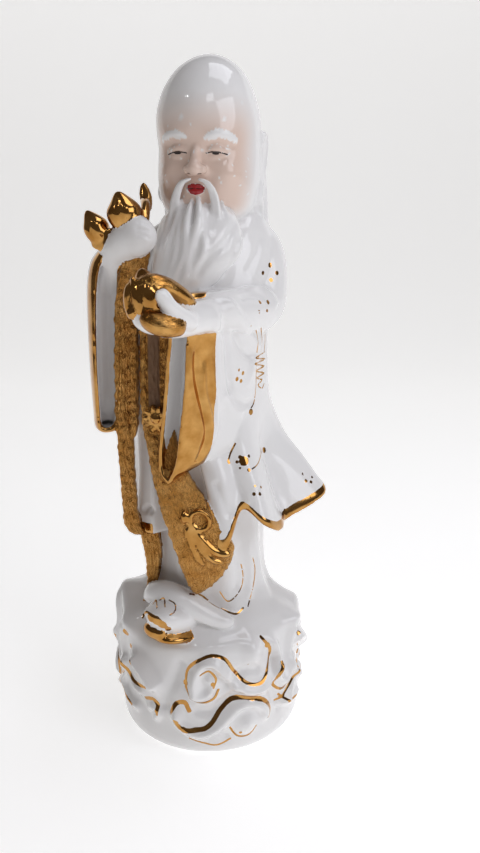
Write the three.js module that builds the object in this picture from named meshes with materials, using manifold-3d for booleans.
// A glazed porcelain figure of the old man of long life, cast in one piece with his wave-carved foot.
// Millimetres, +Z up. The origin is the middle of the underside, and he looks towards -Y.
import * as THREE from 'three';
import { LoftGeometry } from 'three/addons/geometries/LoftGeometry.js';
import { mergeVertices } from 'three/addons/utils/BufferGeometryUtils.js';
import Module from 'manifold-3d';

// Driving dimensions
const HEIGHT = 400; // underside to crown
const FOOT_RADIUS = 59; // round foot at its widest
const RIM = 71; // height of the foot's rim
const HEM = 139; // mean height of the outer robe's hem
const SHOULDER = 308; // height of the shoulders
const HEAD_PIVOT = new THREE.Vector3(0, 0, 338); // the head leans and turns about this point
const HEAD_TURN = 6; // degrees towards his left
const HEAD_LEAN = 1.5; // degrees, crown towards his left
const CLOTH_WALL = 2.6; // thickness of a sleeve's edge at its mouth

const WHITE_GLAZE = 0xf1efec;

const wasm = await Module();
wasm.setup();

const degrees = Math.PI / 180;
const clamp = (x) => Math.min(1, Math.max(0, x));
// A smooth step from 0 at one end to 1 at the other; it also runs downwards.
const ease = (from, to, x) => {
  const t = clamp((x - from) / (to - from));
  return t * t * (3 - 2 * t);
};
const hill = (x, width) => Math.exp(-((x / width) ** 2));
// Signed turn from angle b to angle a, in degrees, between -180 and 180.
const turn = (a, b) => ((((a - b + 180) % 360) + 360) % 360) - 180;

function catmull(a, b, c, d, f) {
  return b + 0.5 * f * (c - a + f * (2 * a - 5 * b + 4 * c - d + f * (3 * (b - c) + d - a)));
}

// The smooth row at t, from 0 to 1, through rows of numbers.
function rowAt(rows, t) {
  const last = rows.length - 1;
  const s = clamp(t) * last;
  const i = Math.min(Math.floor(s), last - 1);
  const [a, b, c, d] = [i - 1, i, i + 1, i + 2].map((k) => rows[Math.min(Math.max(k, 0), last)]);
  return b.map((_, k) => catmull(a[k], b[k], c[k], d[k], s - i));
}

// The smooth height at an angle, from [angle, height] pairs that run once round.
function roundAt(pairs, angle) {
  const n = pairs.length;
  const at = (k) => pairs[((k % n) + n) % n];
  const past = (k) => (((angle - at(k)[0]) % 360) + 360) % 360;
  let i = 0;
  for (let k = 1; k < n; k += 1) if (past(k) < past(i)) i = k;
  const span = (((at(i + 1)[0] - at(i)[0]) % 360) + 360) % 360;
  return catmull(at(i - 1)[1], at(i)[1], at(i + 1)[1], at(i + 2)[1], past(i) / span);
}

// A closed geometry as a solid that can be joined and cut.
function solidOf(geometry) {
  const bare = new THREE.BufferGeometry().setIndex(geometry.index);
  bare.setAttribute('position', geometry.attributes.position);
  const merged = mergeVertices(bare, 1e-4);
  const triVerts = [];
  const index = merged.index.array;
  for (let i = 0; i < index.length; i += 3) {
    const [a, b, c] = [index[i], index[i + 1], index[i + 2]];
    if (a !== b && b !== c && c !== a) triVerts.push(a, b, c);
  }
  const build = (corners) =>
    new wasm.Manifold(
      new wasm.Mesh({
        numProp: 3,
        vertProperties: new Float32Array(merged.attributes.position.array),
        triVerts: new Uint32Array(corners),
      }),
    );
  const made = build(triVerts);
  return made.volume() > 0 ? made : build(triVerts.reverse());
}

// A form skinned over rings of points: pointAt(u, t) with u once round and t along.
function skin(around, along, pointAt) {
  const rings = [];
  for (let j = 0; j <= along; j += 1) {
    const ring = [];
    for (let i = 0; i < around; i += 1) ring.push(pointAt(i / around, j / along));
    rings.push(ring);
  }
  // Each end closes on the middle of its own ring.
  const closing = (ring) => {
    const middle = ring.reduce((sum, p) => sum.add(p), new THREE.Vector3()).divideScalar(ring.length);
    return ring.map(() => middle);
  };
  return solidOf(new LoftGeometry([closing(rings[0]), ...rings, closing(rings[along])]));
}

// A standing form from rows of [z, x, y, half width, half depth, turn of the width in degrees].
// square is the superellipse power, relief pushes outwards and lift moves up, by angle, height and t.
function stack({ rows, around, along, square = 2, relief = () => 0, lift = () => 0 }) {
  return skin(around, along, (u, t) => {
    const [z, x, y, a, b, yaw = 0] = rowAt(rows, t);
    const angle = u * 360 - 180;
    const [c, s] = [Math.cos(angle * degrees), Math.sin(angle * degrees)];
    const fit = (Math.abs(c) ** square + Math.abs(s) ** square) ** (-1 / square);
    const out = relief(angle, z, t);
    const [p, q] = [(a + out) * c * fit, (b + out) * s * fit];
    const [cy, sy] = [Math.cos(yaw * degrees), Math.sin(yaw * degrees)];
    return new THREE.Vector3(x + p * cy - q * sy, y + p * sy + q * cy, z + lift(angle, t));
  });
}

// A swept form from rows of [x, y, z, half width, half thickness]. face is the way its flat side looks.
function limb({ rows, around = 8, along = 8, face = [0, -1, 0], tip = 0.12 }) {
  const point = (t) => new THREE.Vector3(...rowAt(rows, t).slice(0, 3));
  return skin(around, along, (u, t) => {
    const row = rowAt(rows, t);
    const [wide, thick = row[3]] = [row[3], row[4]];
    const ahead = point(Math.min(t + 0.01, 1)).sub(point(Math.max(t - 0.01, 0))).normalize();
    const front = typeof face === 'function' ? face(t) : new THREE.Vector3(...face);
    const side = new THREE.Vector3().crossVectors(front, ahead).normalize();
    const out = new THREE.Vector3().crossVectors(ahead, side).normalize();
    const end = Math.min(t, 1 - t) / tip;
    const round = end >= 1 ? 1 : Math.sqrt(Math.max(1 - (1 - end) ** 2, 0.02));
    const angle = u * 2 * Math.PI;
    return point(t)
      .addScaledVector(side, Math.cos(angle) * wide * round)
      .addScaledVector(out, Math.sin(angle) * thick * round);
  });
}

// A shaped ball: half sizes, turned by degrees about X, Y and Z, with shape scaling each direction.
function blob({ at, half, spin = [0, 0, 0], around = 12, along = 8, shape = () => 1 }) {
  const ball = new THREE.SphereGeometry(1, around, along).rotateX(Math.PI / 2);
  const spot = ball.attributes.position;
  const way = new THREE.Vector3();
  for (let i = 0; i < spot.count; i += 1) {
    way.fromBufferAttribute(spot, i);
    way.multiplyScalar(shape(way));
    spot.setXYZ(i, way.x, way.y, way.z);
  }
  ball.scale(...half);
  ball.rotateX(spin[0] * degrees).rotateY(spin[1] * degrees).rotateZ(spin[2] * degrees);
  return solidOf(ball.translate(...at));
}

function joined(solids) {
  return solids.reduce((whole, next) => whole.add(next));
}

// The foot: a round rock with a ragged rim, and a mound that carries the skirt
const FOOT_CENTRE = [-2.3, -0.9];
const RIM_LIFT = [
  [-170, 13], [-155, 18], [-140, 11], [-120, 0], [-100, -2], [-75, 1], [-50, 3], [-25, 2], [0, 4],
  [14, 8], [30, 1], [52, -4], [80, 3], [108, -3], [140, 5], [168, 7],
];
const FOOT_ROWS = [
  [0, FOOT_RADIUS - 2.5], [4, FOOT_RADIUS - 0.5], [22, FOOT_RADIUS], [44, FOOT_RADIUS - 0.5],
  [60, FOOT_RADIUS - 1.5], [RIM - 2, FOOT_RADIUS - 3], [RIM + 3, FOOT_RADIUS - 8],
  [RIM + 10, FOOT_RADIUS - 15], [RIM + 17, FOOT_RADIUS - 23], [RIM + 20, FOOT_RADIUS - 38],
].map(([z, r]) => [z, ...FOOT_CENTRE, r, r]);

function footRelief(angle, z) {
  const swell = 1.6 * Math.sin(angle * degrees * 5 + z * 0.11) * ease(8, 30, z);
  return swell * (1 - ease(RIM, RIM + 12, z));
}

function footLift(angle, t) {
  const share = ease(0.3, 0.62, t) * (1 - ease(0.62, 0.95, t));
  return roundAt(RIM_LIFT, angle) * share;
}

// A point on the foot's side at an angle and height, set out by a distance.
function onFoot(angle, z, out = 0) {
  const r = FOOT_RADIUS + out;
  return [
    FOOT_CENTRE[0] + r * Math.cos(angle * degrees),
    FOOT_CENTRE[1] + r * Math.sin(angle * degrees),
    z,
  ];
}

// Wave scrolls as rows of [angle, height, half width]
const SCROLLS = [
  [[-86, 47, 2.2], [-86, 57, 3.2], [-79, 65, 3.4], [-70, 68, 3.4], [-62, 63, 3.4], [-55, 52, 3.6],
    [-44, 46, 3.6], [-34, 52, 3.4], [-29, 63, 3.2], [-35, 71, 2.2]],
  [[-85, 45, 2], [-80, 39, 3], [-73, 36, 3.4], [-66, 40, 3.2], [-67, 50, 3], [-75, 55, 2]],
  [[-91, 33, 2], [-87, 24, 2.6], [-76, 20, 3.4], [-68, 24, 3.6], [-60, 32, 3.6], [-49, 36, 3.4],
    [-38, 32, 3.2], [-34, 24, 2.2]],
  [[-33, 44, 2], [-27, 35, 3], [-19, 34, 3], [-13, 43, 3], [-9, 56, 2.6], [-4, 66, 2]],
  [[-116, 26, 2], [-110, 33, 3], [-102, 32, 3], [-101, 24, 2.4], [-107, 20, 2]],
  [[-134, 50, 2], [-127, 42, 3], [-119, 37, 3.2], [-112, 36, 2]],
];
const SCROLL_BACKS = [98, 196]; // the same scrolls again, turned by these angles, on the hidden sides
const FOOT_KNOBS = [
  [-45, 62, [6, 5, 9], 0], [-47, 21, [7, 4.5, 6], 0], [-107, 48, [4.5, 4, 9], 24], [10, 66, [6.5, 6, 9], 0],
];

function scroll(rows, shift = 0) {
  const path = rows.map(([angle, z, r]) => [...onFoot(angle + shift, z, -0.6), r, r * 0.95]);
  return limb({
    rows: path,
    around: 4,
    along: Math.max(4, rows.length - 1),
    tip: 0.1,
    face: (t) => {
      const [x, y] = rowAt(path, t);
      return new THREE.Vector3(x - FOOT_CENTRE[0], y - FOOT_CENTRE[1], 0).normalize();
    },
  });
}

function foot() {
  const rock = stack({ rows: FOOT_ROWS, around: 30, along: 8, relief: footRelief, lift: footLift });
  const waves = SCROLLS.map((rows) => scroll(rows));
  for (const shift of SCROLL_BACKS) waves.push(scroll(SCROLLS[0], shift));
  const knobs = FOOT_KNOBS.map(([angle, z, half, tilt]) =>
    blob({ at: onFoot(angle, z, -2), half, spin: [0, tilt, angle + 90], around: 7, along: 5 }),
  );
  return joined([rock, ...waves, ...knobs]);
}

// The cloud-toed shoe that shows under the hem
function shoe() {
  const upper = blob({
    at: [-9, -45, 85], half: [15, 20, 10.5], spin: [-12, 0, -14], around: 10, along: 7,
    shape: (way) => 1 + 0.16 * ease(-0.2, -0.9, way.y) * ease(-0.4, 0.6, way.z),
  });
  const sole = blob({ at: [-8, -49, 75], half: [13.5, 16, 4.5], spin: [-10, 0, -14], around: 10, along: 5 });
  return joined([upper, sole]);
}

// The skirt under the robe, with upright folds
const SKIRT_ROWS = [
  [72, -3, -2, 46, 42], [84, -3, -2, 42, 38], [96, -4, -2, 38, 35.5], [115, -4, -2, 36, 34], [135, -4, -2, 36, 34],
  [155, -5, -2, 36, 35.5], [180, -6, -2, 36, 38], [205, -7, -2, 34, 38], [222, -7, -2, 30, 34],
];

function skirt() {
  const relief = (angle, z) => 1.4 * Math.sin(angle * degrees * 9 + z * 0.03) * (1 - ease(150, 190, z));
  return stack({ rows: SKIRT_ROWS, around: 28, along: 5, relief });
}

// The outer robe: it flares to his left, and its hem rises and falls in folds
const HEM_LIFT = [
  [-170, -2], [-145, 1], [-126, -6], [-110, -3], [-96, 2], [-84, 0], [-72, -7], [-63, 17], [-50, 9], [-36, 2],
  [-20, -1], [-4, 5], [14, 9], [26, 9], [45, 3], [70, -3], [95, 4], [122, -2], [150, 3],
];
const ROBE_ROWS = [
  [HEM + 12, 5, 1, 42, 34], [HEM + 2, 6, 2, 55, 46], [HEM, 6, 2, 58, 50], [HEM + 4, 6, 2, 58, 51],
  [HEM + 14, 4, 1, 54.5, 48], [HEM + 30, 1, 0, 49.5, 45], [188, -4, -1, 45, 41], [215, -7, -2, 42.5, 38],
  [245, -7, -1, 41, 36], [272, -5, 1, 40, 35], [SHOULDER - 15, -1, 4, 37.5, 31], [SHOULDER, 1, 7, 33, 26],
  [SHOULDER + 10, 1, 9, 26, 20], [SHOULDER + 17, 1, 9, 17, 14],
];
// Folds: angle at the hem, angle where the fold dies out, push outwards, half width in degrees, top
const ROBE_FOLDS = [
  [20, 42, 6, 13, 235], [-6, 2, -9, 11, 220], [-30, -22, 4, 11, 230], [-58, -46, -5, 7, 205],
  [-73, -62, 4, 7, 225], [-132, -126, 3, 8, 240], [-150, -146, -3, 7, 220], [-170, -168, 3, 8, 230],
  [166, 160, -3, 9, 245], [144, 140, 3.5, 9, 250], [122, 118, -4, 9, 270], [98, 97, 4, 9, 260],
  [76, 80, -4, 9, 275], [50, 60, 4, 9, 245],
];
const OPENING = [-120, -77, 212]; // the front opening: from and to these angles, up to this height

function robeRelief(angle, z) {
  const [from, to, height] = OPENING;
  const open = ease(from, from + 4, angle) * ease(to, to - 4, angle) * ease(height + 14, height - 14, z);
  return ROBE_FOLDS.reduce((sum, [low, high, push, width, top]) => {
    const rise = clamp((z - HEM) / (top - HEM));
    return sum + push * (1 - ease(0.15, 1, rise)) * hill(turn(angle, low + (high - low) * rise), width);
  }, -9 * open);
}

function robe() {
  const lift = (angle, t) => roundAt(HEM_LIFT, angle) * (1 - ease(0.2, 0.5, t));
  return stack({ rows: ROBE_ROWS, around: 42, along: 13, relief: robeRelief, lift });
}

// The brocade edge of the robe, the sash down the front, and the turned edge of the inner robe
function bands() {
  const edge = limb({
    rows: [[-26, -43, 290, 4, 2.4], [-32, -43, 270, 6, 3], [-36, -41, 243, 6.5, 3.2], [-37, -40, 215, 6.5, 3.2],
      [-37, -40, 188, 6.5, 3.2], [-36, -43, 160, 6.5, 3.2], [-37, -45, 141, 6.5, 3.2], [-38, -45, 135, 5, 2.5]],
    face: [-0.5, -0.87, 0], around: 5, along: 7, tip: 0.04,
  });
  const sash = limb({
    rows: [[-11, -38, 258, 9, 3.4], [-11, -41, 235, 10.5, 4], [-12, -44, 211, 10, 4.6], [-8, -46, 190, 10, 4.8],
      [-1, -49, 165, 11.5, 4.8], [5, -51, 146, 13.5, 4.8], [9, -50, 129, 14.5, 4.8], [11, -47, 116, 12, 4.2],
      [12, -45, 105, 5, 2.6]],
    face: [0.1, -1, 0], around: 6, along: 8, tip: 0.05,
  });
  const loops = [
    [[0, -55, 154, 2.6], [6, -57, 157, 3.6], [13, -55, 150, 3.6], [18, -51, 138, 3.6], [22, -46, 127, 3]],
    [[-5, -53, 146, 2.4], [0, -56, 139, 3.2], [7, -57, 133, 3.4], [15, -52, 122, 2.6]],
  ].map((rows) => limb({ rows, around: 5, along: 6 }));
  const turned = limb({
    rows: [[-36, -41, 142, 5, 2.8], [-30, -37, 128, 6, 3.4], [-27, -33.5, 113, 6, 3.4], [-25, -33.5, 101, 5.5, 3.4],
      [-24, -36, 90, 3.5, 2.6]],
    face: [-0.5, -0.86, 0], around: 5, along: 5, tip: 0.06,
  });
  return joined([edge, sash, ...loops, turned]);
}

// A hanging sleeve: a flat sack of cloth, cut open at the wrist end. toMouth is the level way its mouth faces.
function hangingSleeve({ rows, mouth, toMouth, depth, lift }) {
  const face = new THREE.Vector3(...toMouth, 0).normalize();
  const cloth = stack({ rows, around: 14, along: 7, square: 2.6, lift });
  const inner = rows.map(([z, x, y, a, b, yaw], i) => {
    const climb = i === 0 ? 2 * CLOTH_WALL : i === rows.length - 1 ? -2 * CLOTH_WALL : 0;
    return [z + climb, x, y, Math.max(a - CLOTH_WALL, 1), Math.max(b - CLOTH_WALL, 0.8), yaw];
  });
  const hollow = stack({ rows: inner, around: 10, along: 5, square: 2.6, lift });
  const half = 60;
  const block = (from) => {
    const box = new THREE.BoxGeometry(2 * half, 2 * half, 3 * half);
    const middle = new THREE.Vector3(...mouth).addScaledVector(face, half - from);
    return solidOf(box.rotateZ(Math.atan2(face.y, face.x)).translate(middle.x, middle.y, middle.z));
  };
  return cloth.subtract(block(0)).subtract(hollow.intersect(block(depth)));
}

// His left arm reaches forwards, and its sleeve hangs from the wrist
const LEFT_SLEEVE = [
  [172, 4, -50, 8, 3, 55], [177, 8, -43, 23, 8, 56], [188, 12, -38, 31, 11, 58], [205, 15, -35, 32, 12, 62],
  [225, 18, -33, 34, 12.5, 66], [248, 20, -32, 36, 12, 69], [266, 22, -31, 37, 11.5, 72], [277, 22, -31, 31, 5.5, 73],
];

function leftArm() {
  const arm = limb({
    rows: [[16, 12, 306, 15], [24, 11, 294, 16.5], [28, 9, 278, 15.5], [29, 0, 266, 14.5], [26, -20, 265, 13],
      [22, -42, 266, 12.5], [15, -63, 266.5, 11.5]],
    around: 9, along: 7, face: [0, 0, 1],
  });
  const lift = (angle, t) => 6.5 * (1 + Math.cos(angle * degrees)) * ease(0.5, 0, t);
  const sleeve = hangingSleeve({ rows: LEFT_SLEEVE, mouth: [8, -62, 230], toMouth: [-0.42, -0.91], depth: 15, lift });
  return joined([arm, sleeve]);
}

// His left hand holds a long-life peach with its leaves
function leftHand() {
  const palm = limb({
    rows: [[16, -58, 266, 8, 7.5], [11, -71, 265, 9, 7], [5, -83, 263, 11, 6.5], [-2, -92, 262, 9, 5.5]],
    face: [0, 0, 1], along: 4,
  });
  const peach = blob({
    at: [-1, -87, 276], half: [11.5, 11.5, 12], spin: [-6, -24, 0], around: 10, along: 7,
    shape: (way) => 1 + 0.42 * ease(0.72, 1, way.z),
  });
  const thumb = limb({
    rows: [[14, -74, 266, 4.2], [12, -84, 268, 4], [8, -92, 275, 3.6], [4.5, -96, 281, 3]],
    around: 5, along: 4, tip: 0.14,
  });
  const fingers = [0, 1, 2].map((k) =>
    limb({
      rows: [[8 - 6 * k, -80 - 2.6 * k, 261, 4], [5 - 6 * k, -92 - k, 260.5, 4],
        [2.5 - 6 * k, -99 + 0.8 * k, 266, 3.6], [2 - 5.6 * k, -99 + 1.6 * k, 273 - k, 2.8]],
      around: 5, along: 4, tip: 0.14,
    }),
  );
  const leaf = limb({
    rows: [[-8, -80, 284, 2, 1.6], [-11, -84, 280, 5, 1.8], [-13, -88, 273, 4.5, 1.8], [-12, -90, 266, 2, 1.6]],
    face: [-0.8, -0.6, 0.2], around: 5, along: 4,
  });
  return joined([palm, peach, thumb, ...fingers, leaf]);
}

// His right arm is raised, and its sleeve hangs open towards the front
const RIGHT_SLEEVE = [
  [194, -54, -34, 10, 4, 118], [198, -54.5, -33, 20, 7.5, 118], [208, -54.5, -31, 25, 9, 118],
  [230, -54, -30, 26, 10.5, 118], [255, -54, -29, 26, 11, 118], [278, -52.5, -29, 24, 11.5, 118],
  [291, -49, -32, 19, 10.5, 120], [299, -44, -36, 12, 7, 122],
];

function rightArm() {
  const arm = limb({
    rows: [[-18, 12, 304, 15], [-32, 10, 296, 16], [-46, 4, 280, 14.5], [-56, -8, 268, 12.5], [-54, -20, 275, 11.5],
      [-44, -34, 289, 10.5], [-36, -41, 297, 9]],
    around: 8, along: 7, face: [0, 1, 0.2],
  });
  const sleeve = hangingSleeve({ rows: RIGHT_SLEEVE, mouth: [-44, -49, 250], toMouth: [0.42, -0.91], depth: 16 });
  return joined([arm, sleeve]);
}

// His right hand grips the peach branch at his shoulder
const PEACH_SHAPE = (way) => 1 + 0.32 * ease(0.7, 1, way.z);

function rightHand() {
  const fist = blob({ at: [-26, -46, 304], half: [10.5, 8.5, 10.5], spin: [0, 14, -14], around: 9, along: 7 });
  const fingers = [0, 1, 2, 3].map((k) =>
    limb({
      rows: [[-31 + k, -52, 311 - 4.6 * k, 2.8], [-25 + k, -55.5, 312.5 - 4.6 * k, 3], [-18, -53, 312 - 4.6 * k, 2.9],
        [-14, -48, 310 - 4.4 * k, 2.4]],
      around: 5, along: 3,
    }),
  );
  const branch = limb({
    rows: [[-22, -48, 296, 3], [-21, -44, 311, 3], [-24, -34, 320, 2.8], [-31, -22, 324, 2.4]],
    around: 5, along: 4,
  });
  const peaches = [
    { at: [-32, -46, 318], half: [9.4, 8.8, 9], spin: [12, 6, 8] },
    { at: [-46.5, -47, 309.5], half: [8.8, 8.4, 9.6], spin: [8, -24, -10] },
    { at: [-33, -17, 324], half: [5.5, 6, 6.5], spin: [0, 10, 0] },
  ].map((place) => blob({ ...place, around: 8, along: 6, shape: PEACH_SHAPE }));
  const leaf = limb({
    rows: [[-30, -40, 306, 1.5, 1.2], [-38, -44, 302, 4, 1.4], [-44, -47, 299, 4, 1.4], [-50, -49, 298, 1.2, 1]],
    face: [0, -0.8, 0.6], around: 5, along: 3,
  });
  return joined([fist, ...fingers, branch, ...peaches, leaf]);
}

// The head, bald and high-domed, upright about its own middle
const HEAD_ROWS = [
  [304, 0, 0, 12, 12], [313, 0, -3, 20, 20], [321, 0, -2.5, 25.5, 25], [329, 0, -1.5, 28, 27.8],
  [336, 0, -1, 28.8, 28.8], [343, 0, -1, 28.8, 29.4], [351, 0, -1.2, 28.6, 30.4], [360, -0.4, -1.6, 29, 31.4],
  [369, -0.7, -1.8, 28.4, 31], [378, -0.8, -1.8, 26, 28.4], [386, -0.6, -1.4, 22.2, 24.2],
  [392.5, -0.3, -1, 17, 18.6], [397.2, 0, -0.5, 10.4, 11.4], [HEIGHT, 0, 0, 3, 3.4],
];
// Swellings of the face: degrees to either side of its middle, height, push outwards, half width, half height
const FACE_SWELLS = [
  [27, 355, 1.2, 14, 4], [23, 347.5, -1.8, 12, 4.5], [33, 336.5, 3.2, 17, 8], [0, 318, 4, 18, 6], [0, 327, 1.4, 20, 5],
];

// What is made once for his right side and once, mirrored in x, for his left
function bothSides(make) {
  return [-1, 1].map((side) => make(side));
}

function faceRelief(angle, z) {
  return FACE_SWELLS.reduce(
    (sum, [aside, height, push, width, tall]) =>
      sum + push * hill(Math.abs(turn(angle, -90)) - aside, width) * hill(z - height, tall),
    0,
  );
}

function face() {
  const brows = bothSides((s) =>
    limb({
      rows: [[4 * s, -30.5, 353, 1.8], [10 * s, -29.5, 355.5, 2.6], [18 * s, -24.5, 353.5, 1.8]],
      around: 5, along: 3,
    }),
  );
  const lids = bothSides((s) =>
    blob({ at: [10.5 * s, -26.8, 347.5], half: [5.6, 3, 2.6], spin: [0, 0, 16 * s], around: 7, along: 4 }),
  );
  const nose = limb({
    rows: [[0, -29, 351, 2.4, 2.4], [0, -31, 345, 3, 2.8], [0, -32.6, 339.5, 6, 3.8], [0, -31, 336, 5, 3]],
    around: 6, along: 5,
  });
  const lips = [[329.8, 5.6, 1.2], [327, 4.4, 1.5]].map(([z, wide, r]) =>
    limb({ rows: [[-wide, -29.3, z, r], [0, -31.4, z, r * 1.15], [wide, -29.3, z, r]], around: 4, along: 3 }),
  );
  return [...brows, ...lids, nose, ...lips];
}

function ears() {
  return bothSides((s) =>
    limb({
      rows: [[27 * s, 2, 360, 2.5, 1.8], [28.5 * s, 4, 356, 5.5, 2.4], [28.5 * s, 4, 346, 5, 2.4],
        [28 * s, 3, 337, 3.8, 2.2], [28.5 * s, 2, 329, 3.8, 2.8], [28 * s, 2, 323, 2, 1.8]],
      face: [s, -0.2, 0], around: 6, along: 6,
    }),
  );
}

function moustache() {
  return bothSides((s) =>
    limb({
      rows: [[1.2 * s, -33.5, 332.5, 1.8], [7 * s, -32.8, 330.5, 2.6], [11 * s, -31.5, 323, 2.6],
        [12.5 * s, -33, 312, 2.4], [13.5 * s, -36.5, 302, 1.6]],
      around: 5, along: 5,
    }),
  );
}

function head() {
  const dome = stack({ rows: HEAD_ROWS, around: 26, along: 13, relief: faceRelief });
  return joined([dome, ...face(), ...ears(), ...moustache()])
    .translate([-HEAD_PIVOT.x, -HEAD_PIVOT.y, -HEAD_PIVOT.z])
    .rotate([0, HEAD_LEAN, HEAD_TURN])
    .translate([HEAD_PIVOT.x, HEAD_PIVOT.y, HEAD_PIVOT.z]);
}

// Hair behind the ears, down to the shoulders
const HAIR_ROWS = [
  [290, 0, 12, 31, 20], [304, 0, 12, 31, 20], [320, -0.5, 11, 30.5, 20], [336, -0.5, 9, 30, 20],
  [348, -0.5, 9, 29, 19], [356, 0, 9, 26.5, 16],
];

function hair() {
  const relief = (angle) => 0.7 * Math.sin(angle * degrees * 9);
  return stack({ rows: HAIR_ROWS, around: 22, along: 3, relief });
}

// The long beard sweeps towards his right hand
const BEARD_ROWS = [
  [262, -11, -38, 4, 4], [270, -8, -36, 12, 10], [281, -4, -33, 18, 15], [293, 0, -29, 22.5, 17],
  [305, 2, -24, 25.5, 17.5], [317, 2, -20, 26, 15], [327, 1, -16, 24, 13],
];
const LOCKS = 6;

function beard() {
  const mass = stack({ rows: BEARD_ROWS, around: 16, along: 5 });
  const locks = Array.from({ length: LOCKS }, (_, k) => {
    const s = k / (LOCKS - 1) - 0.5; // across, from his right to his left
    const bow = 1 - 4 * s * s;
    return limb({
      rows: [
        [40 * s + 1, -17 - 16 * bow, 322 - 4 * bow, 3],
        [45 * s + 3, -22 - 18 * bow, 308, 3.8],
        [42 * s + 1, -27 - 17 * bow, 294, 3.6],
        [34 * s - 3, -32 - 14 * bow, 281, 3.2],
        [20 * s - 9, -38 - 8 * bow, 269 - 5 * bow, 1.4],
      ],
      around: 5, along: 4,
    });
  });
  return joined([mass, ...locks]);
}

const statue = joined([
  foot(), shoe(), skirt(), robe(), bands(), leftArm(), leftHand(), rightArm(), rightHand(), hair(), beard(), head(),
]);

function geometryOf(solid) {
  const { vertProperties, triVerts, numProp } = solid.getMesh();
  const points = new Float32Array((vertProperties.length / numProp) * 3);
  for (let i = 0; i < points.length / 3; i += 1)
    for (let k = 0; k < 3; k += 1) points[3 * i + k] = vertProperties[numProp * i + k];
  const geometry = new THREE.BufferGeometry();
  geometry.setAttribute('position', new THREE.BufferAttribute(points, 3));
  geometry.setIndex(new THREE.BufferAttribute(new Uint32Array(triVerts), 1));
  geometry.computeVertexNormals();
  return geometry;
}

const figure = new THREE.Mesh(
  geometryOf(statue),
  new THREE.MeshStandardMaterial({ color: WHITE_GLAZE, roughness: 0.08, metalness: 0 }),
);
figure.name = 'longevity_figure';

const group = new THREE.Group();
group.add(figure);

export default group;
